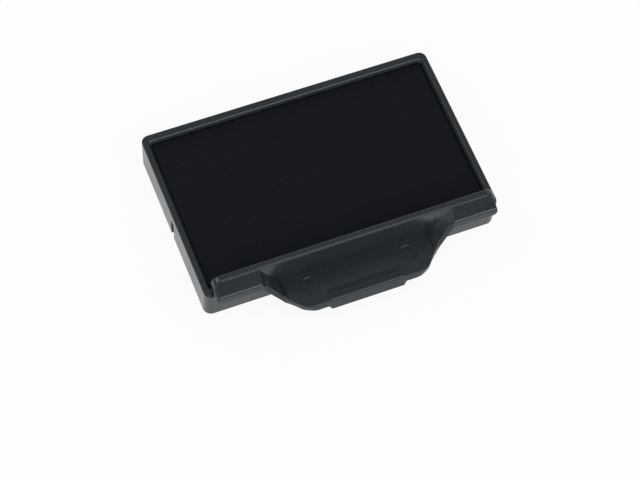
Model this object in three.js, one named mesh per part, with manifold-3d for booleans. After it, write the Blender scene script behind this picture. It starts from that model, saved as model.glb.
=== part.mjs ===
// Ink pad for a self-inking stamp: a slim moulded tray with an inked pad in it,
// and a raised front shield with a pull tab that a finger hooks to change the pad.
// Units are millimetres. +X runs along the long side, +Y to the back, +Z up, pad face up.
// The origin is on the resting plane, midway along the length and the full depth.

import * as THREE from 'three';
import { mergeVertices } from 'three/addons/utils/BufferGeometryUtils.js';
import Module from 'manifold-3d';

// Tray
const trayLength = 62;
const trayDepth = 39;
const trayHeight = 7.5;
const frontDraft = 0.24;
const rimCorner = 1.6;
const baseCorner = 1.7;
const baseRound = 0.2;
const sideWall = 1;
const frontWall = 1.8;
const floorThickness = 1.2;
const recessCorner = 0.6;
const recessDraft = 0.12;
const rimBevel = 0.2;

// Catch groove in the middle of each short side
const grooveWidth = 1.4;
const grooveDepth = 0.4;
const grooveHeight = 5.1;

// Rebate in the front wall that the shield's tongue sits in
const rebateHalf = 17.3;
const rebateDepth = 0.8;
const tongueClearance = 0.1;

// Inked pad, built up from the tray floor
const bondThickness = 0.2;
const coverThickness = 0.5;
const faceBelowRim = 1.2;
const padClearance = 0.15;
const bondInset = 1.2;
const padCorner = 0.5;
const coverRound = 0.3;

// Front shield: a ridge that stands on the rim, and an apron that leans out from its top
const shieldInset = 1.35;
const ridgeSetback = 0.1;
const ridgeThickness = 1.3;
const ridgeRise = 5.35;
const ridgeCorner = 1.9;
const ridgeRound = 0.35;
const endLean = 0.25;
const apronReach = 2;
const apronRise = 2.3;
const hollowRise = 2.9;
const edgeHeight = 1.6;
const edgeThickness = 1.3;
const edgeLean = 0.35;
const edgeRound = 0.25;
const edgeCorner = 1;
const wallClearance = 0.05;

// Pull tab: the middle of the shield drops to a flat finger floor
const tabDrop = 2.5;
const tabThickness = 1.45;
const tabReach = 7.5;
const tabFrontHalf = 12.7;
const tabFrontCorner = 1.7;
const tabNeckHalf = 16.35;
const tabNeckReach = 3.35;
const tabNeckCorner = 0.9;
const tabRootHalf = 19.8;
const tabRampHalf = 16.6;
const tabWallFoot = 0.2;
const tabWallFootHalf = 15.1;
const tabWallTopHalf = 17.6;
const tabFloorHalf = 15.7;
const tabFillet = 0.7;
const creaseRound = 0.3;

// The tab's edge stands upright along its slanting sides and leans out elsewhere
const uprightStart = 10.4;
const uprightFull = 12.6;
const uprightEnd = 14.6;

// Grip lip along the front of the tab
const lipHalf = 7.85;
const lipRise = 1.1;
const lipHeight = 3.45;
const lipLean = 0.6;
const lipRamp = 1.75;
const lipThickness = 1.3;
const lipBevel = 0.2;
const lipSink = 0.3;

// Two round moulding marks in the finger floor
const markRadius = 1.75;
const markSpacing = 20.74;
const markReach = 2.68;
const markDepth = 0.15;

// Overrun of every cut past the face that it opens
const overrun = 1;

// Shares of a length
const rampSoftShare = 0.35;
const cornerShare = 0.45;
const facetShare = 0.85;
const apronShare = 0.15;
const lipEndShare = 0.12;

// Steps of the curved stretches
const cornerSteps = 8;
const roundSteps = 3;
const lipSteps = 8;
const outlineSteps = 8;
const facetSteps = 5;
const rampSteps = 9;
const ridgeCornerSteps = 8;
const markSteps = 40;

// Heights and half sizes that follow from the sizes above
const rimHalf = trayLength / 2;
const coreTop = trayHeight - faceBelowRim - coverThickness;
const shieldHalf = rimHalf - shieldInset;
const foldHeight = trayHeight + apronRise;
const tabFloor = trayHeight - tabDrop;
const tabUnder = tabFloor - tabThickness;
const lipFoot = tabFloor + lipRise - lipHeight;

const wasm = await Module();
wasm.setup();

// Solids are joined and cut as closed meshes with shared corners
function toSolid(geometry) {
  const bare = geometry.clone();
  bare.deleteAttribute('normal');
  bare.deleteAttribute('uv');
  const merged = mergeVertices(bare);
  const mesh = new wasm.Mesh({
    numProp: 3,
    vertProperties: new Float32Array(merged.attributes.position.array),
    triVerts: new Uint32Array(merged.index.array),
  });
  return new wasm.Manifold(mesh);
}

function toGeometry(solid) {
  const mesh = solid.getMesh();
  const geometry = new THREE.BufferGeometry();
  geometry.setAttribute('position', new THREE.BufferAttribute(new Float32Array(mesh.vertProperties), 3));
  geometry.setIndex(new THREE.BufferAttribute(new Uint32Array(mesh.triVerts), 1));
  geometry.computeVertexNormals();
  return geometry;
}

// Closed body through rings of the same number of points; flatten gives a ring's cap plane
function loft(rings, flatten) {
  const count = rings[0].length;
  const positions = rings.flat().flatMap((point) => point.toArray());
  const index = [];
  for (let ring = 0; ring < rings.length - 1; ring += 1) {
    for (let step = 0; step < count; step += 1) {
      const next = (step + 1) % count;
      const low = ring * count;
      const high = low + count;
      index.push(low + step, low + next, high + next);
      index.push(low + step, high + next, high + step);
    }
  }
  const last = (rings.length - 1) * count;
  const firstCap = THREE.ShapeUtils.triangulateShape(rings[0].map(flatten), []);
  const lastCap = THREE.ShapeUtils.triangulateShape(rings[rings.length - 1].map(flatten), []);
  firstCap.forEach(([a, b, c]) => index.push(a, c, b));
  lastCap.forEach(([a, b, c]) => index.push(last + a, last + b, last + c));
  const geometry = new THREE.BufferGeometry();
  geometry.setAttribute('position', new THREE.Float32BufferAttribute(positions, 3));
  geometry.setIndex(index);
  return toGeometry(toSolid(geometry));
}

const fromAbove = (point) => new THREE.Vector2(point.x, point.y);
const fromRight = (point) => new THREE.Vector2(point.y, point.z);

// Evenly spaced values from one to another, both included
function spread(from, to, steps) {
  return Array.from({ length: steps + 1 }, (_, step) => THREE.MathUtils.lerp(from, to, step / steps));
}

// How far a value has gone from one limit to another, held between 0 and 1
function shareBetween(value, from, to) {
  return THREE.MathUtils.clamp((value - from) / (to - from), 0, 1);
}

// Rounded rectangle at one height, counter-clockwise seen from above
function roundedRing({ left, right, front, back, corner, height }) {
  const centres = [
    [right - corner, front + corner, -Math.PI / 2],
    [right - corner, back - corner, 0],
    [left + corner, back - corner, Math.PI / 2],
    [left + corner, front + corner, Math.PI],
  ];
  return centres.flatMap(([x, y, start]) => spread(start, start + Math.PI / 2, cornerSteps).map(
    (angle) => new THREE.Vector3(x + corner * Math.cos(angle), y + corner * Math.sin(angle), height),
  ));
}

// Tray outline at a height; the draft draws in the front and back, and an inset every side
function trayRing(height, inset) {
  const drawnIn = frontDraft * (1 - height / trayHeight) + inset;
  return roundedRing({
    left: -rimHalf + inset,
    right: rimHalf - inset,
    front: drawnIn,
    back: trayDepth - drawnIn,
    corner: THREE.MathUtils.lerp(baseCorner, rimCorner, height / trayHeight),
    height,
  });
}

function recessRing(height, inset) {
  return roundedRing({
    left: -rimHalf + sideWall + inset,
    right: rimHalf - sideWall - inset,
    front: frontWall + inset,
    back: trayDepth - sideWall - inset,
    corner: recessCorner,
    height,
  });
}

function trayBody() {
  const rings = spread(0, Math.PI / 2, roundSteps).map((angle) => {
    const height = baseRound * (1 - Math.cos(angle));
    return trayRing(height, baseRound * (1 - Math.sin(angle)));
  });
  rings.push(trayRing(trayHeight, 0));
  rings.push(recessRing(trayHeight, 0));
  rings.push(recessRing(trayHeight - rimBevel, rimBevel));
  rings.push(recessRing(floorThickness, rimBevel + recessDraft));
  return loft(rings, fromAbove);
}

function grooveCutter(side) {
  const width = grooveDepth + overrun;
  const height = grooveHeight + overrun;
  const box = new THREE.BoxGeometry(width, grooveWidth, height);
  const reach = rimHalf - grooveDepth + width / 2;
  box.translate(side * reach, trayDepth / 2, grooveHeight - height / 2);
  return toSolid(box);
}

function rebateCutter() {
  const depth = rebateDepth + overrun;
  const height = trayHeight - tabUnder + overrun;
  const box = new THREE.BoxGeometry(2 * rebateHalf, depth, height);
  box.translate(0, rebateDepth - depth / 2, tabUnder + height / 2);
  return toSolid(box);
}

function trayGeometry() {
  const grooved = toSolid(trayBody()).subtract(grooveCutter(1)).subtract(grooveCutter(-1));
  return toGeometry(grooved.subtract(rebateCutter()));
}

// One layer of the pad stack; the outline follows the recess and its clearance
function padRing(height, inset) {
  const gap = rimBevel + recessDraft + padClearance + inset;
  return roundedRing({
    left: -rimHalf + sideWall + gap,
    right: rimHalf - sideWall - gap,
    front: frontWall + gap,
    back: trayDepth - sideWall - gap,
    corner: padCorner,
    height,
  });
}

function bondGeometry() {
  const top = floorThickness + bondThickness;
  return loft([padRing(floorThickness, bondInset), padRing(top, bondInset)], fromAbove);
}

function coreGeometry() {
  return loft([padRing(floorThickness + bondThickness, 0), padRing(coreTop, 0)], fromAbove);
}

function coverGeometry() {
  const rings = [padRing(coreTop, 0)];
  spread(0, Math.PI / 2, roundSteps).forEach((angle) => {
    const height = coreTop + coverThickness - coverRound * (1 - Math.sin(angle));
    rings.push(padRing(height, coverRound * (1 - Math.cos(angle))));
  });
  return loft(rings, fromAbove);
}

// Half outline of the shield's front edge in plan, from the tab's middle to the shield's end
function tabOutline() {
  const front = new THREE.Vector2(tabFrontHalf, tabReach);
  const neck = new THREE.Vector2(tabNeckHalf, tabNeckReach);
  const root = new THREE.Vector2(tabRootHalf, apronReach);
  const side = neck.clone().sub(front).normalize();
  const shoulder = root.clone().sub(neck).normalize();
  const frontEnd = front.clone().addScaledVector(side, tabFrontCorner);
  const neckStart = neck.clone().addScaledVector(side, -tabNeckCorner);
  const neckEnd = neck.clone().addScaledVector(shoulder, tabNeckCorner);
  const outline = new THREE.Path();
  outline.moveTo(0, tabReach);
  outline.lineTo(front.x - tabFrontCorner, tabReach);
  outline.quadraticCurveTo(front.x, front.y, frontEnd.x, frontEnd.y);
  outline.lineTo(neckStart.x, neckStart.y);
  outline.quadraticCurveTo(neck.x, neck.y, neckEnd.x, neckEnd.y);
  outline.lineTo(root.x, root.y);
  outline.lineTo(shieldHalf, apronReach);
  return outline.getPoints(outlineSteps);
}

const outlinePoints = tabOutline();

// How far the front edge stands out at a distance from the middle
function frontReach(x) {
  const found = outlinePoints.findIndex((point) => point.x >= x);
  const high = found < 0 ? outlinePoints.length - 1 : Math.max(1, found);
  const start = outlinePoints[high - 1];
  const end = outlinePoints[high];
  return THREE.MathUtils.lerp(start.y, end.y, shareBetween(x, start.x, end.x));
}

// Distances from the middle where a section of the shield is taken
function halfStations() {
  const cornerStart = tabFrontHalf - tabFrontCorner;
  const roundStart = shieldHalf - ridgeCorner;
  const ends = spread(0, Math.PI / 2, ridgeCornerSteps).map((angle) => roundStart + ridgeCorner * Math.sin(angle));
  return [
    uprightStart,
    ...spread(cornerStart, tabFrontHalf + tabFrontCorner, outlineSteps),
    ...spread(tabWallFootHalf, tabFloorHalf, facetSteps),
    ...spread(tabNeckHalf, tabRootHalf, rampSteps),
    tabRampHalf,
    tabWallTopHalf,
    ...ends,
  ].sort((a, b) => a - b);
}

// Drop of a rounded corner of the shield's ends at a distance from the middle
function cornerDrop(x, radius) {
  const past = Math.max(0, x - (shieldHalf - radius));
  return radius - Math.sqrt(Math.max(0, radius ** 2 - past ** 2));
}

// Share of the way up from the finger floor to the fold of the apron
function rampShare(x) {
  const straight = shareBetween(x, tabRampHalf, tabRootHalf);
  const soft = THREE.MathUtils.smoothstep(x, tabRampHalf, tabRootHalf);
  return THREE.MathUtils.lerp(straight, soft, rampSoftShare);
}

// Lean of the edge band at a distance from the middle
function bandLean(x) {
  const inner = THREE.MathUtils.smoothstep(x, uprightStart, uprightFull);
  const outer = THREE.MathUtils.smoothstep(x, uprightEnd, tabRampHalf);
  return edgeLean * (1 - inner * (1 - outer));
}

// Section of the shield's outside: ridge top, foot of the wall, start of the floor, front edge
function outerCorners(x) {
  const top = new THREE.Vector2(ridgeSetback, trayHeight + ridgeRise - cornerDrop(x, ridgeCorner));
  const edge = new THREE.Vector2(-frontReach(x), THREE.MathUtils.lerp(tabFloor, foldHeight, rampShare(x)));
  const wallFoot = new THREE.Vector2(-tabWallFoot, tabFloor + tabFillet);
  const floorStart = new THREE.Vector2(-tabWallFoot - tabFillet, tabFloor);
  const wall = wallFoot.lerp(top, shareBetween(x, tabWallFootHalf, tabWallTopHalf));
  if (x >= tabWallTopHalf) {
    wall.copy(top).lerp(edge, apronShare);
  }
  const onFacet = wall.clone().lerp(edge, facetShare);
  const foot = floorStart.lerp(onFacet, shareBetween(x, tabWallFootHalf, tabFloorHalf));
  return { top, wall, foot, edge };
}

// Replace the corners of a closed outline by short curves, with the same count for every outline
function roundCorners(corners) {
  return corners.flatMap(({ at, round }, place) => {
    if (round === 0) {
      return [at];
    }
    const before = corners[(place + corners.length - 1) % corners.length].at;
    const after = corners[(place + 1) % corners.length].at;
    const reachBefore = Math.min(round, cornerShare * at.distanceTo(before));
    const reachAfter = Math.min(round, cornerShare * at.distanceTo(after));
    const start = at.clone().add(before.clone().sub(at).setLength(reachBefore));
    const end = at.clone().add(after.clone().sub(at).setLength(reachAfter));
    return new THREE.QuadraticBezierCurve(start, at, end).getPoints(roundSteps);
  });
}

// Closed section of the shield across X, counter-clockwise seen from the right
function shieldSection(x, side) {
  const { top, wall, foot, edge } = outerCorners(x);
  const share = rampShare(x);
  const bandHeight = THREE.MathUtils.lerp(tabThickness, edgeHeight, share);
  const bandFoot = edge.y - bandHeight + cornerDrop(x, edgeCorner);
  const bandFront = edge.x - bandLean(x);
  const underHeight = THREE.MathUtils.lerp(tabUnder, trayHeight + hollowRise, share);
  const rear = ridgeSetback + ridgeThickness;
  const corners = [
    { at: new THREE.Vector2(rear, trayHeight), round: 0 },
    { at: new THREE.Vector2(rear, top.y), round: ridgeRound },
    { at: top, round: ridgeRound },
    { at: wall, round: creaseRound },
    { at: foot, round: creaseRound },
    { at: edge, round: edgeRound },
    { at: new THREE.Vector2(bandFront, bandFoot), round: edgeRound },
    { at: new THREE.Vector2(bandFront + edgeThickness, bandFoot), round: 0 },
    { at: new THREE.Vector2(-wallClearance, underHeight), round: 0 },
    { at: new THREE.Vector2(-wallClearance, trayHeight), round: 0 },
  ];
  const endShare = shareBetween(x, shieldHalf - ridgeCorner, shieldHalf);
  return roundCorners(corners).map((point) => {
    const lean = endLean * endShare * (1 - shareBetween(point.y, trayHeight, trayHeight + ridgeRise));
    return new THREE.Vector3(side * (x - lean), point.x, point.y);
  });
}

function shieldBody() {
  const stations = halfStations();
  const right = stations.map((x) => shieldSection(x, 1));
  const left = stations.reverse().map((x) => shieldSection(x, -1));
  return loft([...left, ...right], fromRight);
}

// Tongue behind the tab that fills the tray's rebate
function tongueBody() {
  const depth = rebateDepth + wallClearance;
  const height = trayHeight - tabUnder;
  const box = new THREE.BoxGeometry(2 * (rebateHalf - tongueClearance), depth, height);
  box.translate(0, rebateDepth - depth / 2, tabUnder + height / 2);
  return box;
}

// Section of the grip lip: a ramp up from the finger floor to a leaning front face
function lipSection() {
  const section = new THREE.Path();
  section.moveTo(-tabReach + lipRamp, tabFloor - lipSink);
  section.lineTo(-tabReach + lipRamp, tabFloor);
  section.quadraticCurveTo(-tabReach + lipThickness / 2, tabFloor, -tabReach, tabFloor + lipRise);
  section.lineTo(-tabReach - lipLean, lipFoot);
  section.lineTo(-tabReach - lipLean + lipThickness, lipFoot);
  section.lineTo(-tabReach + lipThickness, tabFloor - lipSink);
  return section.getPoints(lipSteps);
}

// The lip's ends are drawn in towards the tab, which bevels them
function lipBody() {
  const middle = new THREE.Vector2(-tabReach + lipThickness / 2, tabFloor - lipSink / 2);
  const ring = (x, drawnInShare) => lipSection().map((point) => {
    const moved = point.lerp(middle, drawnInShare);
    return new THREE.Vector3(x, moved.x, moved.y);
  });
  return loft([
    ring(-lipHalf, lipEndShare),
    ring(-lipHalf + lipBevel, 0),
    ring(lipHalf - lipBevel, 0),
    ring(lipHalf, lipEndShare),
  ], fromRight);
}

function markCutter(side) {
  const height = markDepth + overrun;
  const mark = new THREE.CylinderGeometry(markRadius, markRadius, height, markSteps);
  mark.rotateX(Math.PI / 2);
  mark.translate((side * markSpacing) / 2, -markReach, tabFloor - markDepth + height / 2);
  return toSolid(mark);
}

function shieldGeometry() {
  const joined = toSolid(shieldBody()).add(toSolid(tongueBody())).add(toSolid(lipBody()));
  return toGeometry(joined.subtract(markCutter(1)).subtract(markCutter(-1)));
}

const plastic = { color: 0x2e3236, roughness: 0.45, metalness: 0 };
const foam = { color: 0x17181b, roughness: 0.95, metalness: 0 };
const cloth = { color: 0x141519, roughness: 0.9, metalness: 0 };
const film = { color: 0xd8d4c4, roughness: 0.6, metalness: 0 };

function piece(name, geometry, finish) {
  const mesh = new THREE.Mesh(geometry, new THREE.MeshStandardMaterial(finish));
  mesh.name = name;
  return mesh;
}

const assembly = new THREE.Group();
assembly.add(piece('tray', trayGeometry(), plastic));
assembly.add(piece('front_shield', shieldGeometry(), plastic));
assembly.add(piece('bond_sheet', bondGeometry(), film));
assembly.add(piece('ink_core', coreGeometry(), foam));
assembly.add(piece('pad_cover', coverGeometry(), cloth));

// The origin sits midway between the back wall and the foot of the grip lip
assembly.position.y = (tabReach + lipLean - trayDepth) / 2;

const inkPad = new THREE.Group();
inkPad.add(assembly);

export default inkPad;
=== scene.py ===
"""Looks of the ink pad: a moulded tray, its front shield with the pull tab, and the inked pad.

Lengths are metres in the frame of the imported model: +X along the long side, +Y to the back, +Z up.
"""
import math

import bmesh
import bpy
from mathutils import Euler, Matrix, Vector, noise


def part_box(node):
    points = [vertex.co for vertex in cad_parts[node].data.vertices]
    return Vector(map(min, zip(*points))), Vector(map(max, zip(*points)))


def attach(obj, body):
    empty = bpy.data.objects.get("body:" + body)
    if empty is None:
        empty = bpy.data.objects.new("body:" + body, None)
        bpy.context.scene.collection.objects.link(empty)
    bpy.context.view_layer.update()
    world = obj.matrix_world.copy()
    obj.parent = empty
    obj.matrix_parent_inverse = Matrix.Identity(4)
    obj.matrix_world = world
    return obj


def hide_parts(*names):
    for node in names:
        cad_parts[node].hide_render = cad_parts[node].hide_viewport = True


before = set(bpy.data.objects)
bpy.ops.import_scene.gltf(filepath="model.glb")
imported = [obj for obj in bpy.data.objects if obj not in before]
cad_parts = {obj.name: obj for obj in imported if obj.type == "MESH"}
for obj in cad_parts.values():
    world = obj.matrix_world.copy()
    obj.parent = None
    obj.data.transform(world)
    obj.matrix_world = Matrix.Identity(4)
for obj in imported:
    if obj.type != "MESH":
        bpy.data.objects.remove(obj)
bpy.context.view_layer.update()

# Places read from the frame
TRAY_LOW, TRAY_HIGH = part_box("tray")
SHIELD_LOW, SHIELD_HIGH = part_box("front_shield")
CORE_LOW, CORE_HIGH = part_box("ink_core")
COVER_LOW, COVER_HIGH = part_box("pad_cover")
RIM_HALF = TRAY_HIGH.x
RIM_TOP = TRAY_HIGH.z
FRONT = TRAY_LOW.y
BACK = TRAY_HIGH.y
SHIELD_HALF = SHIELD_HIGH.x
RIDGE_TOP = SHIELD_HIGH.z
SHIELD_FOOT = SHIELD_LOW.z

# Tray
FRONT_DRAFT = 0.00024
RIM_CORNER = 0.0016
BASE_CORNER = 0.0017
BASE_ROUND = 0.0002
RIM_ROUND = 0.00018
SIDE_WALL = 0.00105
BACK_WALL = 0.00142
FRONT_WALL = 0.0016
BEVEL = 0.0002
BEVEL_ROUND = 0.00007
SLOPE_WIDTH = 0.00032
SLOPE_DROP = 0.00046
RECESS_CORNER = 0.0006
RECESS_DRAFT = 0.00006
FLOOR_TOP = 0.0012
FLOOR_FILLET = 0.0003
GROOVE_WIDTH = 0.0014
GROOVE_DEPTH = 0.0004
GROOVE_HEIGHT = 0.0051
REBATE_HALF = 0.0173
REBATE_DEPTH = 0.0008
TONGUE_CLEARANCE = 0.0001
TONGUE_OVERLAP = 0.0001
OVERRUN = 0.001

# Shield, measured from the tray's front face and its rim
RIDGE_SETBACK = 0.0001
RIDGE_THICKNESS = 0.00142
RIDGE_CORNER = 0.0019
RIDGE_ROUND = 0.0004
END_LEAN = 0.00025
APRON_REACH = 0.002
APRON_RISE = 0.0023
HOLLOW_RISE = 0.0029
EDGE_HEIGHT = 0.0016
EDGE_THICKNESS = 0.0013
EDGE_LEAN = 0.00035
EDGE_ROUND = 0.0002
EDGE_CORNER = 0.001
BEAD_WIDTH = 0.0004
BEAD_RISE = 0.00018
WALL_CLEARANCE = 0.00005

# Pull tab
TAB_DROP = 0.0025
TAB_THICKNESS = 0.00145
TAB_REACH = 0.0075
TAB_FRONT_HALF = 0.0127
TAB_FRONT_CORNER = 0.0017
TAB_NECK_HALF = 0.01635
TAB_NECK_REACH = 0.00335
TAB_NECK_CORNER = 0.0009
TAB_ROOT_HALF = 0.0198
TAB_ROOT_CORNER = 0.0008
RAMP_LOW_HALF = 0.0161
RAMP_HIGH_HALF = 0.0202
RAMP_SETBACK = 0.0005
SETBACK_FULL = 0.0172
SETBACK_CLOSING = 0.0192
WALL_FOOT = 0.0002
WALL_FOOT_HALF = 0.0154
CREASE_ROUND = 0.00003
CHEEK_ROUND = 0.0004
UPRIGHT_START = 0.0104
UPRIGHT_FULL = 0.0126
UPRIGHT_END = 0.0146
TAB_FLOOR = RIM_TOP - TAB_DROP
TAB_UNDERSIDE = TAB_FLOOR - TAB_THICKNESS

# Grip lip and the round moulding marks
LIP_HALF = 0.0076
LIP_RISE = 0.00036
LIP_LEAN = 0.0006
LIP_STEP_START = 0.0029
LIP_STEP_END = 0.001
LIP_THICKNESS = 0.0013
LIP_ROUND = 0.00015
LIP_CROWN = 0.00055
LIP_SINK = 0.0003
LIP_TAPER = 0.0013
MARK_RADIUS = 0.00175
MARK_SPACING = 0.02074
MARK_REACH = 0.00268
MARK_DEPTH = 0.00007
MARK_EDGE = 0.00012

# Pad, and the ink on the walls around it
COVER_ROUND = 0.00012
COVER_STEP = 0.0005
COVER_WAVE = 0.00003
COVER_WAVE_LENGTH = 0.009
EDGE_FRAY = 0.00006
EDGE_FRAY_LENGTH = 0.0016
EDGE_FRAY_REACH = 0.0012
CORE_ROUND = 0.0004
INK_TOP_DEPTH = 0.0006
INK_RAGGED = 0.0003
INK_BORDER = 0.00008
PAD_SIDE_TRIM = 0.0002
PAD_BACK_TRIM = 0.00057
PAD_RAISE = 0.0003
PAD_HALF = COVER_HIGH.x - PAD_SIDE_TRIM
PAD_BACK = COVER_HIGH.y - PAD_BACK_TRIM
PAD_FRONT = COVER_LOW.y

# Shares and angles
RAMP_SOFT_SHARE = 0.2
LIP_STEP_SHARE = 0.5
CORNER_SHARE = 0.45
CREASE_TOP_SHARE = 0.12
BEAD_FADE_SHARE = 0.35
QUARTER_TURN = math.pi / 2
SMOOTH_ANGLE = math.radians(25)

# Larger scale at which bodies are joined and cut
SOLVER_SCALE = 1000

# Steps of the curved stretches
RING_STEPS = 10
ROUND_STEPS = 5
OUTLINE_STEPS = 14
FACET_STEPS = 46
STRAIGHT_STEPS = 8
RIDGE_CORNER_STEPS = 14
LIP_STEPS = 14
MARK_STEPS = 64

# Noise in the materials: scale per metre, and octaves
FLOW_NOISE = (140, 3)
SPECK_NOISE = (2600, 2)
GRAIN_NOISE = (4200, 2)
SWELL_NOISE = (260, 1)
INK_NOISE = (1100, 3)
CLOUD_NOISE = (90, 4)
FIBRE_NOISE = (2400, 6)
MOTTLE_NOISE = (700, 4)
WEAVE_SCALE = 900
WEAVE_WANDER = 0.6

# Stretches of a noise's values that are spread over a whole range
WIDE_MIDDLE = (0.3, 0.7)
NARROW_MIDDLE = (0.35, 0.65)
WHOLE = (0, 1)

# Relief in the materials: depth, and strength
GRAIN_RELIEF = (0.00002, 0.18)
SWELL_RELIEF = (0.0003, 0.12)
WEAVE_RELIEF = (0.00006, 0.6)
FIBRE_RELIEF = (0.0002, 0.8)
MOTTLE_RELIEF = (0.00003, 0.5)

# Colours: darkest and palest of each layer
FLOW_TONES = ((0.0158, 0.0193, 0.0228), (0.0205, 0.0233, 0.0268))
SPECK_TONES = ((0.013, 0.0162, 0.0195), (0.0245, 0.0282, 0.032))
CLOTH_TONES = ((0.0042, 0.0054, 0.0082), (0.0056, 0.007, 0.0102))
FELT_TONES = ((0.006, 0.006, 0.008), (0.014, 0.014, 0.017))
ADHESIVE_TONES = ((0.6, 0.56, 0.44), (0.7, 0.67, 0.56))
INK_COLOUR = (0.012, 0.0145, 0.0185)
SPECK_SHARE = 0.5

# Gloss: roughness or its range, specular level and tint
PLASTIC_ROUGHNESS = (0.18, 0.26)
PLASTIC_SPECULAR = 0.52
PLASTIC_TINT = (0.81, 0.92, 1)
CLOTH_ROUGHNESS = (0.62, 0.8)
CLOTH_SPECULAR = 0.1
FELT_ROUGHNESS = 0.9
FELT_SPECULAR = 0.2
ADHESIVE_ROUGHNESS = 0.55
ADHESIVE_SPECULAR = 0.4

# Camera, solved on the edges of the tray for an image of 640 by 480
# Its turn is in degrees, its sensor and focal length are in millimetres
CAMERA_PLACE = Vector((-0.09637, -0.1969, 0.38182))
CAMERA_TURN = (28.859, -2.508, -21.476)
SENSOR_WIDTH = 36
FOCAL_LENGTH = 122.52

# Studio
FLOOR_HALF_SIZE = 3
FLOOR_COLOUR = (0.9, 0.9, 0.9)
FLOOR_ROUGHNESS = 0.9
FLOOR_SEEN_SHARE = 0.92
FLOOR_MIRROR_SHARE = 0.66
LAMP_DISTANCE = 0.8
# Name, direction from the object, width, depth and radiance of each lamp
LAMPS = (
    ("front", (0.28, -0.66, 0.7), 0.6, 0.5, 2.3),
    ("front left", (-0.66, -0.6, 0.42), 0.3, 0.3, 2.8),
    ("back", (0.1, 0.95, 0.3), 1, 0.3, 1.3),
    ("left back", (-0.6, 0.4, 0.65), 0.4, 0.4, 2.2),
    ("right back", (0.75, 0.35, 0.5), 0.4, 0.4, 1),
    ("top", (0, 0, 1), 0.5, 0.5, 1),
)
HORIZON_LEVEL = 0.26
ZENITH_LEVEL = 0.38


def spread(start, end, steps):
    """Evenly spaced values, both ends included."""
    return [start + (end - start) * step / steps for step in range(steps + 1)]


def share_between(value, start, end):
    return min(1, max(0, (value - start) / (end - start)))


def soft_share(value, start, end):
    share = share_between(value, start, end)
    return share * share * (3 - 2 * share)


def mix(start, end, share):
    return start + (end - start) * share


# Outlines

def towards(point, other, reach):
    return point + (other - point).normalized() * reach


def curve_corner(start, corner, end, steps):
    """Short curve that replaces a corner."""
    return [start * (1 - t) ** 2 + corner * (2 * t * (1 - t)) + end * t ** 2 for t in spread(0, 1, steps)]


def round_corners(corners):
    """Replace the corners of a closed outline by short curves of the same count."""
    outline = []
    for place, (corner, radius) in enumerate(corners):
        if radius == 0:
            outline.append(corner)
            continue
        before = corners[place - 1][0]
        after = corners[(place + 1) % len(corners)][0]
        start = towards(corner, before, min(radius, CORNER_SHARE * (before - corner).length))
        end = towards(corner, after, min(radius, CORNER_SHARE * (after - corner).length))
        outline += curve_corner(start, corner, end, ROUND_STEPS)
    return outline


def round_corner(before, corner, after, radius, steps):
    """Short curve in place of the corner between two other points."""
    return curve_corner(towards(corner, before, radius), corner, towards(corner, after, radius), steps)


# Mesh helpers

def add_object(name, mesh):
    item = bpy.data.objects.new(name, mesh)
    bpy.context.scene.collection.objects.link(item)
    return item


def loft(name, rings):
    """Closed body through rings of the same number of points, capped at both ends."""
    shape = bmesh.new()
    grid = [[shape.verts.new(point) for point in ring] for ring in rings]
    count = len(grid[0])
    for low, high in zip(grid, grid[1:]):
        for step in range(count):
            following = (step + 1) % count
            shape.faces.new((low[step], low[following], high[following], high[step]))
    shape.faces.new(reversed(grid[0]))
    shape.faces.new(grid[-1])
    mesh = bpy.data.meshes.new(name)
    shape.to_mesh(mesh)
    shape.free()
    return add_object(name, mesh)


def block(name, low, high):
    corners = [(low.x, low.y), (high.x, low.y), (high.x, high.y), (low.x, high.y)]
    return loft(name, [[(x, y, z) for x, y in corners] for z in (low.z, high.z)])


def rescale(mesh, factor):
    mesh.transform(Matrix.Scale(factor, 4))


def combine(item, other, operation):
    """Join or cut item with other, which is used up."""
    for part in (item, other):
        rescale(part.data, SOLVER_SCALE)
    modifier = item.modifiers.new("combine", "BOOLEAN")
    modifier.operation = operation
    modifier.solver = "EXACT"
    modifier.object = other
    bpy.context.view_layer.update()
    evaluated = item.evaluated_get(bpy.context.evaluated_depsgraph_get())
    mesh = bpy.data.meshes.new_from_object(evaluated)
    item.modifiers.clear()
    rescale(mesh, 1 / SOLVER_SCALE)
    item.data = mesh
    bpy.data.objects.remove(other)


def smooth(item):
    item.data.shade_smooth()
    item.data.set_sharp_from_angle(angle=SMOOTH_ANGLE)
    weighted = item.modifiers.new("face weights", "WEIGHTED_NORMAL")
    weighted.keep_sharp = True


# Tray

def rounded_ring(left, right, front, back, corner, height):
    """Rounded rectangle at one height, counter-clockwise seen from above."""
    centres = [
        (right - corner, front + corner, -QUARTER_TURN),
        (right - corner, back - corner, 0),
        (left + corner, back - corner, QUARTER_TURN),
        (left + corner, front + corner, 2 * QUARTER_TURN),
    ]
    ring = []
    for x, y, start in centres:
        for angle in spread(start, start + QUARTER_TURN, RING_STEPS):
            ring.append((x + corner * math.cos(angle), y + corner * math.sin(angle), height))
    return ring


def outer_ring(height, inset):
    share = height / RIM_TOP
    drawn_in = FRONT_DRAFT * (1 - share) + inset
    corner = mix(BASE_CORNER, RIM_CORNER, share) - inset
    half = RIM_HALF - inset
    return rounded_ring(-half, half, FRONT + drawn_in, BACK - drawn_in, corner, height)


def recess_ring(height, inset):
    half = RIM_HALF - SIDE_WALL - inset
    front = FRONT + FRONT_WALL + inset
    back = BACK - BACK_WALL - inset
    return rounded_ring(-half, half, front, back, RECESS_CORNER, height)


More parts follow.
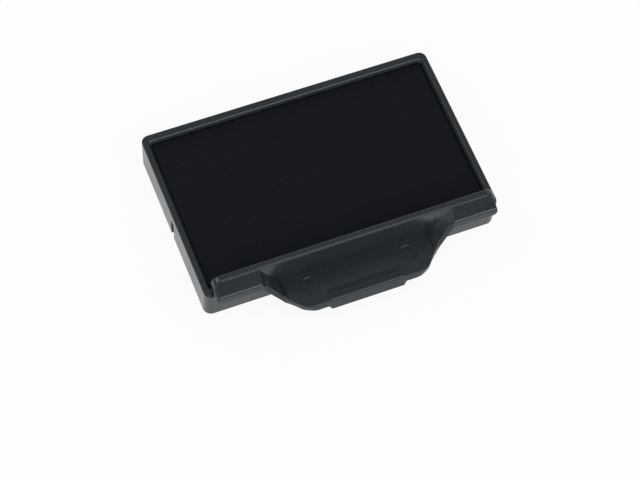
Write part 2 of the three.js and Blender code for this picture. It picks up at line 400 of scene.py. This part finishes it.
def tray_rings():
    """Rings from the base up the outer wall, over the rim and down to the recess floor."""
    rings = []
    for angle in spread(0, QUARTER_TURN, ROUND_STEPS):
        rings.append(outer_ring(BASE_ROUND * (1 - math.cos(angle)), BASE_ROUND * (1 - math.sin(angle))))
    for angle in spread(0, QUARTER_TURN, ROUND_STEPS):
        height = RIM_TOP - RIM_ROUND * (1 - math.sin(angle))
        rings.append(outer_ring(height, RIM_ROUND * (1 - math.cos(angle))))
    slope_foot = BEVEL + SLOPE_WIDTH
    wall = slope_foot + RECESS_DRAFT
    profile = round_corners([
        (Vector((-BEVEL, RIM_TOP)), 0),
        (Vector((0, RIM_TOP)), BEVEL_ROUND),
        (Vector((BEVEL, RIM_TOP - BEVEL)), BEVEL_ROUND),
        (Vector((slope_foot, RIM_TOP - BEVEL - SLOPE_DROP)), BEVEL_ROUND),
        (Vector((wall, FLOOR_TOP)), FLOOR_FILLET),
        (Vector((wall + 2 * FLOOR_FILLET, FLOOR_TOP)), 0),
    ])
    for inset, height in profile:
        rings.append(recess_ring(height, inset))
    return rings


def note_depth(tray):
    """Keep each recess point's depth below the rim, for the ink on the walls."""
    depth = tray.data.attributes.new("depth", "FLOAT", "POINT")
    for vertex in tray.data.vertices:
        x, y, z = vertex.co
        inside = abs(x) < RIM_HALF - SIDE_WALL / 2 and FRONT + FRONT_WALL / 2 < y < BACK - BACK_WALL / 2
        depth.data[vertex.index].value = RIM_TOP - z if inside else 0


def groove_cutter(side):
    middle = (FRONT + BACK) / 2
    inner = side * (RIM_HALF - GROOVE_DEPTH)
    outer = side * (RIM_HALF + OVERRUN)
    low = Vector((min(inner, outer), middle - GROOVE_WIDTH / 2, -OVERRUN))
    high = Vector((max(inner, outer), middle + GROOVE_WIDTH / 2, GROOVE_HEIGHT))
    return block("groove", low, high)


def rebate_block(name, half, front, back, top):
    return block(name, Vector((-half, front, TAB_UNDERSIDE)), Vector((half, back, top)))


def build_tray():
    tray = loft("tray_moulding", tray_rings())
    combine(tray, groove_cutter(-1), "DIFFERENCE")
    combine(tray, groove_cutter(1), "DIFFERENCE")
    cutter = rebate_block("rebate", REBATE_HALF, FRONT - OVERRUN, FRONT + REBATE_DEPTH, RIM_TOP + OVERRUN)
    combine(tray, cutter, "DIFFERENCE")
    note_depth(tray)
    smooth(tray)
    return tray


# Front shield

def tab_outline():
    """Half outline of the shield's front edge in plan: distance from the middle, and reach."""
    middle = Vector((0, TAB_REACH))
    front = Vector((TAB_FRONT_HALF, TAB_REACH))
    neck = Vector((TAB_NECK_HALF, TAB_NECK_REACH))
    root = Vector((TAB_ROOT_HALF, APRON_REACH))
    end = Vector((SHIELD_HALF, APRON_REACH))
    outline = [middle]
    outline += round_corner(middle, front, neck, TAB_FRONT_CORNER, OUTLINE_STEPS)
    outline += round_corner(front, neck, root, TAB_NECK_CORNER, OUTLINE_STEPS)
    outline += round_corner(neck, root, end, TAB_ROOT_CORNER, OUTLINE_STEPS)
    outline.append(end)
    return outline


OUTLINE = tab_outline()


def front_reach(x):
    for start, end in zip(OUTLINE, OUTLINE[1:]):
        if x <= end.x:
            return mix(start.y, end.y, share_between(x, start.x, end.x))
    return APRON_REACH


def half_stations():
    """Distances from the middle where a section of the shield is taken."""
    corner_start = TAB_FRONT_HALF - TAB_FRONT_CORNER
    round_start = SHIELD_HALF - RIDGE_CORNER
    stations = set(spread(0, UPRIGHT_START, STRAIGHT_STEPS)[1:])
    stations.update(spread(corner_start, TAB_FRONT_HALF + TAB_FRONT_CORNER, OUTLINE_STEPS))
    stations.update(spread(WALL_FOOT_HALF, RAMP_HIGH_HALF, FACET_STEPS))
    stations.update(spread(RAMP_HIGH_HALF, round_start, STRAIGHT_STEPS)[1:-1])
    stations.update((RAMP_LOW_HALF, TAB_NECK_HALF))
    for angle in spread(0, QUARTER_TURN, RIDGE_CORNER_STEPS):
        stations.add(round_start + RIDGE_CORNER * math.sin(angle))
    return sorted(stations)


def corner_drop(x, radius):
    """How far a rounded corner at the shield's end has come down."""
    past = max(0, x - (SHIELD_HALF - radius))
    return radius - math.sqrt(max(0, radius ** 2 - past ** 2))


def ramp_share(x):
    """Share of the way up from the finger floor to the fold of the apron."""
    straight = share_between(x, RAMP_LOW_HALF, RAMP_HIGH_HALF)
    return mix(straight, soft_share(x, RAMP_LOW_HALF, RAMP_HIGH_HALF), RAMP_SOFT_SHARE)


def ramp_setback(x):
    """How far the top of the front edge stands back from the outline beside the tab."""
    opening = soft_share(x, RAMP_LOW_HALF, SETBACK_FULL)
    return RAMP_SETBACK * opening * (1 - soft_share(x, SETBACK_CLOSING, RAMP_HIGH_HALF))


def band_lean(x):
    """How far the foot of the front edge leans out. It stands upright at the tab's front corners."""
    inner = soft_share(x, UPRIGHT_START, UPRIGHT_FULL)
    outer = soft_share(x, UPRIGHT_END, RAMP_LOW_HALF)
    return EDGE_LEAN * (1 - inner * (1 - outer))


def outer_corners(x):
    """Ridge top, crease and front edge of one section.

    The crease runs along the foot of the wall, climbs beside the cheek and ends just under the fold.
    """
    top = Vector((RIDGE_SETBACK, RIDGE_TOP - corner_drop(x, RIDGE_CORNER)))
    reach = front_reach(x) - ramp_setback(x)
    edge = Vector((-reach, mix(TAB_FLOOR, RIM_TOP + APRON_RISE, ramp_share(x))))
    foot = Vector((-WALL_FOOT, TAB_FLOOR))
    high = top.lerp(edge, CREASE_TOP_SHARE)
    return top, foot.lerp(high, share_between(x, WALL_FOOT_HALF, RAMP_HIGH_HALF)), edge


def bead(crease, edge, share):
    """Low bead along the front edge of the apron and the cheeks: its inner foot, and its raised corner."""
    along = (edge - crease).normalized()
    outward = Vector((along.y, -along.x))
    return edge - along * BEAD_WIDTH, edge + outward * BEAD_RISE * share


def shield_section(x, side):
    """Closed outline across the shield at one distance from its middle."""
    top, crease, edge = outer_corners(x)
    share = ramp_share(x)
    bead_foot, bead_top = bead(crease, edge, soft_share(share, 0, BEAD_FADE_SHARE))
    band_foot = edge.y - mix(TAB_THICKNESS, EDGE_HEIGHT, share) + corner_drop(x, EDGE_CORNER)
    band_front = -front_reach(x) - band_lean(x)
    under = mix(TAB_UNDERSIDE, RIM_TOP + HOLLOW_RISE, share)
    rear = RIDGE_SETBACK + RIDGE_THICKNESS
    crease_round = mix(CREASE_ROUND, CHEEK_ROUND, share_between(x, WALL_FOOT_HALF, RAMP_HIGH_HALF))
    outline = round_corners([
        (Vector((rear, RIM_TOP)), 0),
        (Vector((rear, top.y)), RIDGE_ROUND),
        (top, RIDGE_ROUND),
        (crease, crease_round),
        (bead_foot, CREASE_ROUND),
        (bead_top, EDGE_ROUND),
        (Vector((band_front, band_foot)), EDGE_ROUND),
        (Vector((band_front + EDGE_THICKNESS, band_foot)), 0),
        (Vector((-WALL_CLEARANCE, under)), 0),
        (Vector((-WALL_CLEARANCE, RIM_TOP)), 0),
    ])
    end_share = share_between(x, SHIELD_HALF - RIDGE_CORNER, SHIELD_HALF)
    ring = []
    for y, z in outline:
        lean = END_LEAN * end_share * (1 - share_between(z, RIM_TOP, RIDGE_TOP))
        ring.append((side * (x - lean), FRONT + y, z))
    return ring


def build_shield_body():
    stations = half_stations()
    right = [shield_section(x, 1) for x in stations]
    left = [shield_section(x, -1) for x in reversed(stations)]
    return loft("shield_body", left + right)


def lip_outline():
    """Section of the grip lip: a soft step up, a round crown and a leaning face."""
    front = -TAB_REACH
    top = Vector((front, TAB_FLOOR + LIP_RISE))
    foot = Vector((front - LIP_LEAN, SHIELD_FOOT))
    heel = foot + Vector((LIP_THICKNESS, 0))
    step = []
    for share in spread(0, 1, LIP_STEPS):
        rise = LIP_RISE * LIP_STEP_SHARE * soft_share(share, 0, 1)
        step.append(Vector((front + mix(LIP_STEP_START, LIP_STEP_END, share), TAB_FLOOR + rise)))
    crown = round_corner(step[-1], top, foot, LIP_CROWN, LIP_STEPS)
    toe = round_corner(top, foot, heel, LIP_ROUND, ROUND_STEPS)
    sunk = TAB_FLOOR - LIP_SINK
    inside = [heel, Vector((front + LIP_THICKNESS, sunk)), Vector((front + LIP_STEP_START, sunk))]
    return step + crown + toe + inside


def press_to_tab(y, z):
    """Nearest place inside the tab's own section, so that the lip can die into it."""
    lowest = TAB_FLOOR + LIP_SINK - TAB_THICKNESS
    return max(y, LIP_SINK - TAB_REACH), min(max(z, lowest), TAB_FLOOR - LIP_SINK)


def build_lip():
    """Lip with ends that taper into the tab."""
    full = lip_outline()
    pressed = [press_to_tab(y, z) for y, z in full]
    end = LIP_HALF + LIP_TAPER
    sections = ((-end, pressed), (-LIP_HALF, full), (LIP_HALF, full), (end, pressed))
    return loft("lip", [[(x, FRONT + y, z) for y, z in outline] for x, outline in sections])


def mark_cutter(side):
    """Shallow round pocket with a sloped edge."""
    middle = side * MARK_SPACING / 2
    turn = [2 * math.pi * step / MARK_STEPS for step in range(MARK_STEPS)]
    rings = []
    for end in (-1, 1):
        radius = MARK_RADIUS + end * MARK_EDGE
        plan = [(middle + radius * math.cos(a), FRONT - MARK_REACH + radius * math.sin(a)) for a in turn]
        rings.append([(x, y, TAB_FLOOR + end * MARK_DEPTH) for x, y in plan])
    return loft("mark", rings)


def build_shield():
    shield = build_shield_body()
    shield.name = "shield_moulding"
    tongue = rebate_block(
        "tongue",
        REBATE_HALF - TONGUE_CLEARANCE,
        FRONT - WALL_CLEARANCE - TONGUE_OVERLAP,
        FRONT + REBATE_DEPTH,
        RIM_TOP + TONGUE_OVERLAP,
    )
    combine(shield, tongue, "UNION")
    combine(shield, build_lip(), "UNION")
    combine(shield, mark_cutter(-1), "DIFFERENCE")
    combine(shield, mark_cutter(1), "DIFFERENCE")
    smooth(shield)
    return shield


# Pad

def edge_positions(low, high):
    """Grid lines along one side, close together at both ends."""
    near = [COVER_ROUND * (1 - math.cos(angle)) for angle in spread(0, QUARTER_TURN, ROUND_STEPS)]
    steps = round((high - low - 2 * COVER_ROUND) / COVER_STEP)
    middle = spread(low + COVER_ROUND, high - COVER_ROUND, steps)[1:-1]
    return [low + step for step in near] + middle + [high - step for step in reversed(near)]


def cover_point(x, y):
    """Top of the cover at a place in plan: rounded at the edge, a little wavy and frayed."""
    to_side = PAD_HALF - abs(x)
    to_end = min(y - PAD_FRONT, PAD_BACK - y)
    to_edge = min(to_side, to_end)
    past = max(0, COVER_ROUND - to_edge)
    drop = COVER_ROUND - math.sqrt(max(0, COVER_ROUND ** 2 - past ** 2))
    wave = COVER_WAVE * noise.noise(Vector((x, y, 0)) / COVER_WAVE_LENGTH)
    point = Vector((x, y, COVER_HIGH.z + PAD_RAISE - COVER_WAVE - drop + wave))
    near = 1 - share_between(to_edge, 0, EDGE_FRAY_REACH)
    from_corner = soft_share(max(to_side, to_end), 0, EDGE_FRAY_REACH)
    fray = EDGE_FRAY * near * from_corner * noise.noise(Vector((x, y, 1)) / EDGE_FRAY_LENGTH)
    if to_side < to_end:
        outward = Vector((math.copysign(1, x), 0, 0))
    else:
        outward = Vector((0, math.copysign(1, (y - PAD_FRONT) - (PAD_BACK - y)), 0))
    return point + outward * fray


def build_cover():
    """Closed pad cover with a fine grid on top, for its waves and its frayed edge."""
    shape = bmesh.new()
    across = edge_positions(-PAD_HALF, PAD_HALF)
    along = edge_positions(PAD_FRONT, PAD_BACK)
    grid = [[shape.verts.new(cover_point(x, y)) for x in across] for y in along]
    for front, back in zip(grid, grid[1:]):
        for left in range(len(front) - 1):
            right = left + 1
            shape.faces.new((front[left], front[right], back[right], back[left]))
    rim = [edge for edge in shape.edges if edge.is_boundary]
    side = bmesh.ops.extrude_edge_only(shape, edges=rim)["geom"]
    for vertex in [part for part in side if isinstance(part, bmesh.types.BMVert)]:
        vertex.co.z = COVER_LOW.z
    base = [edge for edge in shape.edges if edge.is_boundary]
    bmesh.ops.contextual_create(shape, geom=base)
    bmesh.ops.recalc_face_normals(shape, faces=shape.faces)
    mesh = bpy.data.meshes.new("pad_face")
    shape.to_mesh(mesh)
    shape.free()
    cover = add_object("pad_face", mesh)
    smooth(cover)
    return cover


def core_ring(height, inset):
    half = PAD_HALF - inset
    return rounded_ring(-half, half, PAD_FRONT + inset, PAD_BACK - inset, CORE_ROUND, height)


def build_core():
    rings = []
    for angle in spread(0, QUARTER_TURN, ROUND_STEPS):
        inset = CORE_ROUND / 2 * (1 - math.sin(angle))
        rings.append(core_ring(CORE_LOW.z + CORE_ROUND / 2 * (1 - math.cos(angle)), inset))
    rings.append(core_ring(CORE_HIGH.z, 0))
    core = loft("ink_block", rings)
    smooth(core)
    return core


# Materials

def start_material(name, specular):
    material = bpy.data.materials.new(name)
    material.use_nodes = True
    nodes = material.node_tree.nodes
    shader = nodes["Principled BSDF"]
    shader.inputs["Specular IOR Level"].default_value = specular
    place = nodes.new("ShaderNodeTexCoord")
    return material, shader, place.outputs["Object"]


def feed(tree, value, socket):
    """Link the output of another node to a socket, or set a number or a colour on it."""
    if isinstance(value, bpy.types.NodeSocket):
        tree.links.new(value, socket)
    elif isinstance(value, tuple):
        socket.default_value = (*value, 1)
    else:
        socket.default_value = value


def feed_all(tree, node, values):
    for name, value in values.items():
        feed(tree, value, node.inputs[name])


def noise_field(tree, place, noise_layer):
    scale, octaves = noise_layer
    node = tree.nodes.new("ShaderNodeTexNoise")
    feed_all(tree, node, {"Vector": place, "Scale": scale, "Detail": octaves})
    return node.outputs["Fac"]


def remap(tree, value, before, after):
    """Carry one range of values over to another, held at both ends."""
    node = tree.nodes.new("ShaderNodeMapRange")
    ends = {"From Min": before[0], "From Max": before[1], "To Min": after[0], "To Max": after[1]}
    feed_all(tree, node, {"Value": value, **ends})
    return node.outputs["Result"]


def mix_colours(tree, share, first, second):
    node = tree.nodes.new("ShaderNodeMix")
    node.data_type = "RGBA"
    feed_all(tree, node, {"Factor": share, "A": first, "B": second})
    return node.outputs["Result"]


def mottled(tree, noise_value, tones):
    """Colour that wanders between the darkest and the palest tone."""
    return mix_colours(tree, remap(tree, noise_value, WIDE_MIDDLE, WHOLE), *tones)


def work_out(tree, operation, first, second):
    """Result of one arithmetic step on two values."""
    node = tree.nodes.new("ShaderNodeMath")
    node.operation = operation
    feed(tree, first, node.inputs[0])
    feed(tree, second, node.inputs[1])
    return node.outputs["Value"]


def bump(tree, height, relief, normal=None):
    """Relief from a height, over another relief where one is given."""
    depth, strength = relief
    node = tree.nodes.new("ShaderNodeBump")
    feed_all(tree, node, {"Height": height, "Distance": depth, "Strength": strength})
    if normal:
        feed(tree, normal, node.inputs["Normal"])
    return node.outputs["Normal"]


def ink_share(tree, place):
    """Share of ink on the recess walls: full near the pad, with a ragged upper border."""
    depth = tree.nodes.new("ShaderNodeAttribute")
    depth.attribute_name = "depth"
    ragged = remap(tree, noise_field(tree, place, INK_NOISE), NARROW_MIDDLE, (-INK_RAGGED, INK_RAGGED))
    total = work_out(tree, "ADD", depth.outputs["Fac"], ragged)
    return remap(tree, total, (INK_TOP_DEPTH, INK_TOP_DEPTH + INK_BORDER), WHOLE)


def moulded_plastic():
    """Dark grey moulding with a satin grain, faint flow marks, specks and ink on the recess walls."""
    material, shader, place = start_material("moulded plastic", PLASTIC_SPECULAR)
    shader.inputs["Specular Tint"].default_value = (*PLASTIC_TINT, 1)
    tree = material.node_tree
    flow = remap(tree, noise_field(tree, place, FLOW_NOISE), WIDE_MIDDLE, WHOLE)
    specks = remap(tree, noise_field(tree, place, SPECK_NOISE), NARROW_MIDDLE, WHOLE)
    flow_colour = mix_colours(tree, flow, *FLOW_TONES)
    speck_colour = mix_colours(tree, specks, *SPECK_TONES)
    grey = mix_colours(tree, SPECK_SHARE, flow_colour, speck_colour)
    swell = bump(tree, noise_field(tree, place, SWELL_NOISE), SWELL_RELIEF)
    feed_all(tree, shader, {
        "Base Color": mix_colours(tree, ink_share(tree, place), grey, INK_COLOUR),
        "Roughness": remap(tree, flow, WHOLE, PLASTIC_ROUGHNESS),
        "Normal": bump(tree, noise_field(tree, place, GRAIN_NOISE), GRAIN_RELIEF, swell),
    })
    return material


def weave_height(tree, place):
    """Threads over and under each other, as height."""
    threads = []
    for direction in ("X", "Y"):
        wave = tree.nodes.new("ShaderNodeTexWave")
        wave.bands_direction = direction
        feed_all(tree, wave, {"Vector": place, "Scale": WEAVE_SCALE, "Distortion": WEAVE_WANDER})
        threads.append(wave.outputs["Fac"])
    return work_out(tree, "MULTIPLY", *threads)


def inked_cloth():
    """Fine black cloth, damp with ink, with faint cloudy patches."""
    material, shader, place = start_material("inked cloth", CLOTH_SPECULAR)
    tree = material.node_tree
    cloud = noise_field(tree, place, CLOUD_NOISE)
    feed_all(tree, shader, {
        "Base Color": mottled(tree, cloud, CLOTH_TONES),
        "Roughness": remap(tree, cloud, WIDE_MIDDLE, CLOTH_ROUGHNESS),
        "Normal": bump(tree, weave_height(tree, place), WEAVE_RELIEF),
    })
    return material


def mottled_material(name, specular, roughness, noise_layer, tones, relief):
    """Matt material whose colour and relief follow the same noise."""
    material, shader, place = start_material(name, specular)
    tree = material.node_tree
    height = noise_field(tree, place, noise_layer)
    feed_all(tree, shader, {
        "Base Color": mottled(tree, height, tones),
        "Roughness": roughness,
        "Normal": bump(tree, height, relief),
    })
    return material


def ink_felt():
    """Felt block soaked with ink."""
    return mottled_material(
        "ink felt", FELT_SPECULAR, FELT_ROUGHNESS, FIBRE_NOISE, FELT_TONES, FIBRE_RELIEF
    )


def adhesive_sheet():
    """Thin pale adhesive sheet with a faint mottle."""
    return mottled_material(
        "adhesive sheet", ADHESIVE_SPECULAR, ADHESIVE_ROUGHNESS, MOTTLE_NOISE, ADHESIVE_TONES, MOTTLE_RELIEF
    )


# Object

def dress(item, material, node):
    item.data.materials.clear()
    item.data.materials.append(material)
    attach(item, "root")
    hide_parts(node)


plastic = moulded_plastic()
dress(build_tray(), plastic, "tray")
dress(build_shield(), plastic, "front_shield")

core = build_core()
dress(core, ink_felt(), "ink_core")

cover = build_cover()
dress(cover, inked_cloth(), "pad_cover")

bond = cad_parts["bond_sheet"]
bond.data.materials.clear()
bond.data.materials.append(adhesive_sheet())


# Studio

def ray_kind(tree, kind):
    """1 for the named kind of ray, else 0."""
    return tree.nodes.new("ShaderNodeLightPath").outputs[kind]


def show_by_share(tree, share, first, second, output):
    """First shader where the share is 0, second where it is 1."""
    both = tree.nodes.new("ShaderNodeMixShader")
    for socket, value in zip(both.inputs, (share, first, second)):
        tree.links.new(value, socket)
    tree.links.new(both.outputs["Shader"], tree.nodes[output].inputs["Surface"])


def floor_material():
    """Pale surface that the camera sees as near white, darker where a shadow falls."""
    material = bpy.data.materials.new("pale floor")
    material.use_nodes = True
    tree = material.node_tree
    surface = tree.nodes["Principled BSDF"]
    feed_all(tree, surface, {"Base Color": FLOOR_COLOUR, "Roughness": FLOOR_ROUGHNESS})
    glow = tree.nodes.new("ShaderNodeEmission")
    seen = work_out(tree, "MULTIPLY", ray_kind(tree, "Is Camera Ray"), FLOOR_SEEN_SHARE)
    mirrored = work_out(tree, "MULTIPLY", ray_kind(tree, "Is Glossy Ray"), FLOOR_MIRROR_SHARE)
    share = work_out(tree, "MAXIMUM", seen, mirrored)
    show_by_share(tree, share, surface.outputs["BSDF"], glow.outputs["Emission"], "Material Output")
    return material


def build_floor():
    sides = ((-1, -1), (1, -1), (1, 1), (-1, 1))
    corners = [(x * FLOOR_HALF_SIZE, y * FLOOR_HALF_SIZE, 0) for x, y in sides]
    mesh = bpy.data.meshes.new("floor")
    mesh.from_pydata(corners, [], [list(range(len(corners)))])
    mesh.materials.append(floor_material())
    add_object("floor", mesh)


def build_world():
    """Soft room, darker at the horizon, and plain white behind the object."""
    world = bpy.data.worlds.new("studio")
    bpy.context.scene.world = world
    world.use_nodes = True
    tree = world.node_tree
    place = tree.nodes.new("ShaderNodeTexCoord")
    split = tree.nodes.new("ShaderNodeSeparateXYZ")
    tree.links.new(place.outputs["Generated"], split.inputs["Vector"])
    room = tree.nodes["Background"]
    level = remap(tree, split.outputs["Z"], WHOLE, (HORIZON_LEVEL, ZENITH_LEVEL))
    feed_all(tree, room, {"Color": (1, 1, 1), "Strength": level})
    white = tree.nodes.new("ShaderNodeBackground")
    feed(tree, (1, 1, 1), white.inputs["Color"])
    camera_share = ray_kind(tree, "Is Camera Ray")
    backgrounds = (room.outputs["Background"], white.outputs["Background"])
    show_by_share(tree, camera_share, *backgrounds, "World Output")


def build_lamp(name, direction, width, depth, radiance):
    data = bpy.data.lights.new(name, "AREA")
    data.shape = "RECTANGLE"
    data.size = width
    data.size_y = depth
    data.energy = radiance * math.pi * width * depth
    lamp = add_object(name, data)
    lamp.location = Vector(direction).normalized() * LAMP_DISTANCE
    lamp.rotation_euler = (-lamp.location).to_track_quat("-Z", "Y").to_euler()


def build_camera():
    data = bpy.data.cameras.new("camera")
    data.sensor_width = SENSOR_WIDTH
    data.lens = FOCAL_LENGTH
    camera = add_object("camera", data)
    camera.location = CAMERA_PLACE
    camera.rotation_euler = Euler([math.radians(angle) for angle in CAMERA_TURN])
    bpy.context.scene.camera = camera


build_floor()
build_world()
for lamp in LAMPS:
    build_lamp(*lamp)
build_camera()
bpy.context.scene.view_settings.view_transform = "Standard"
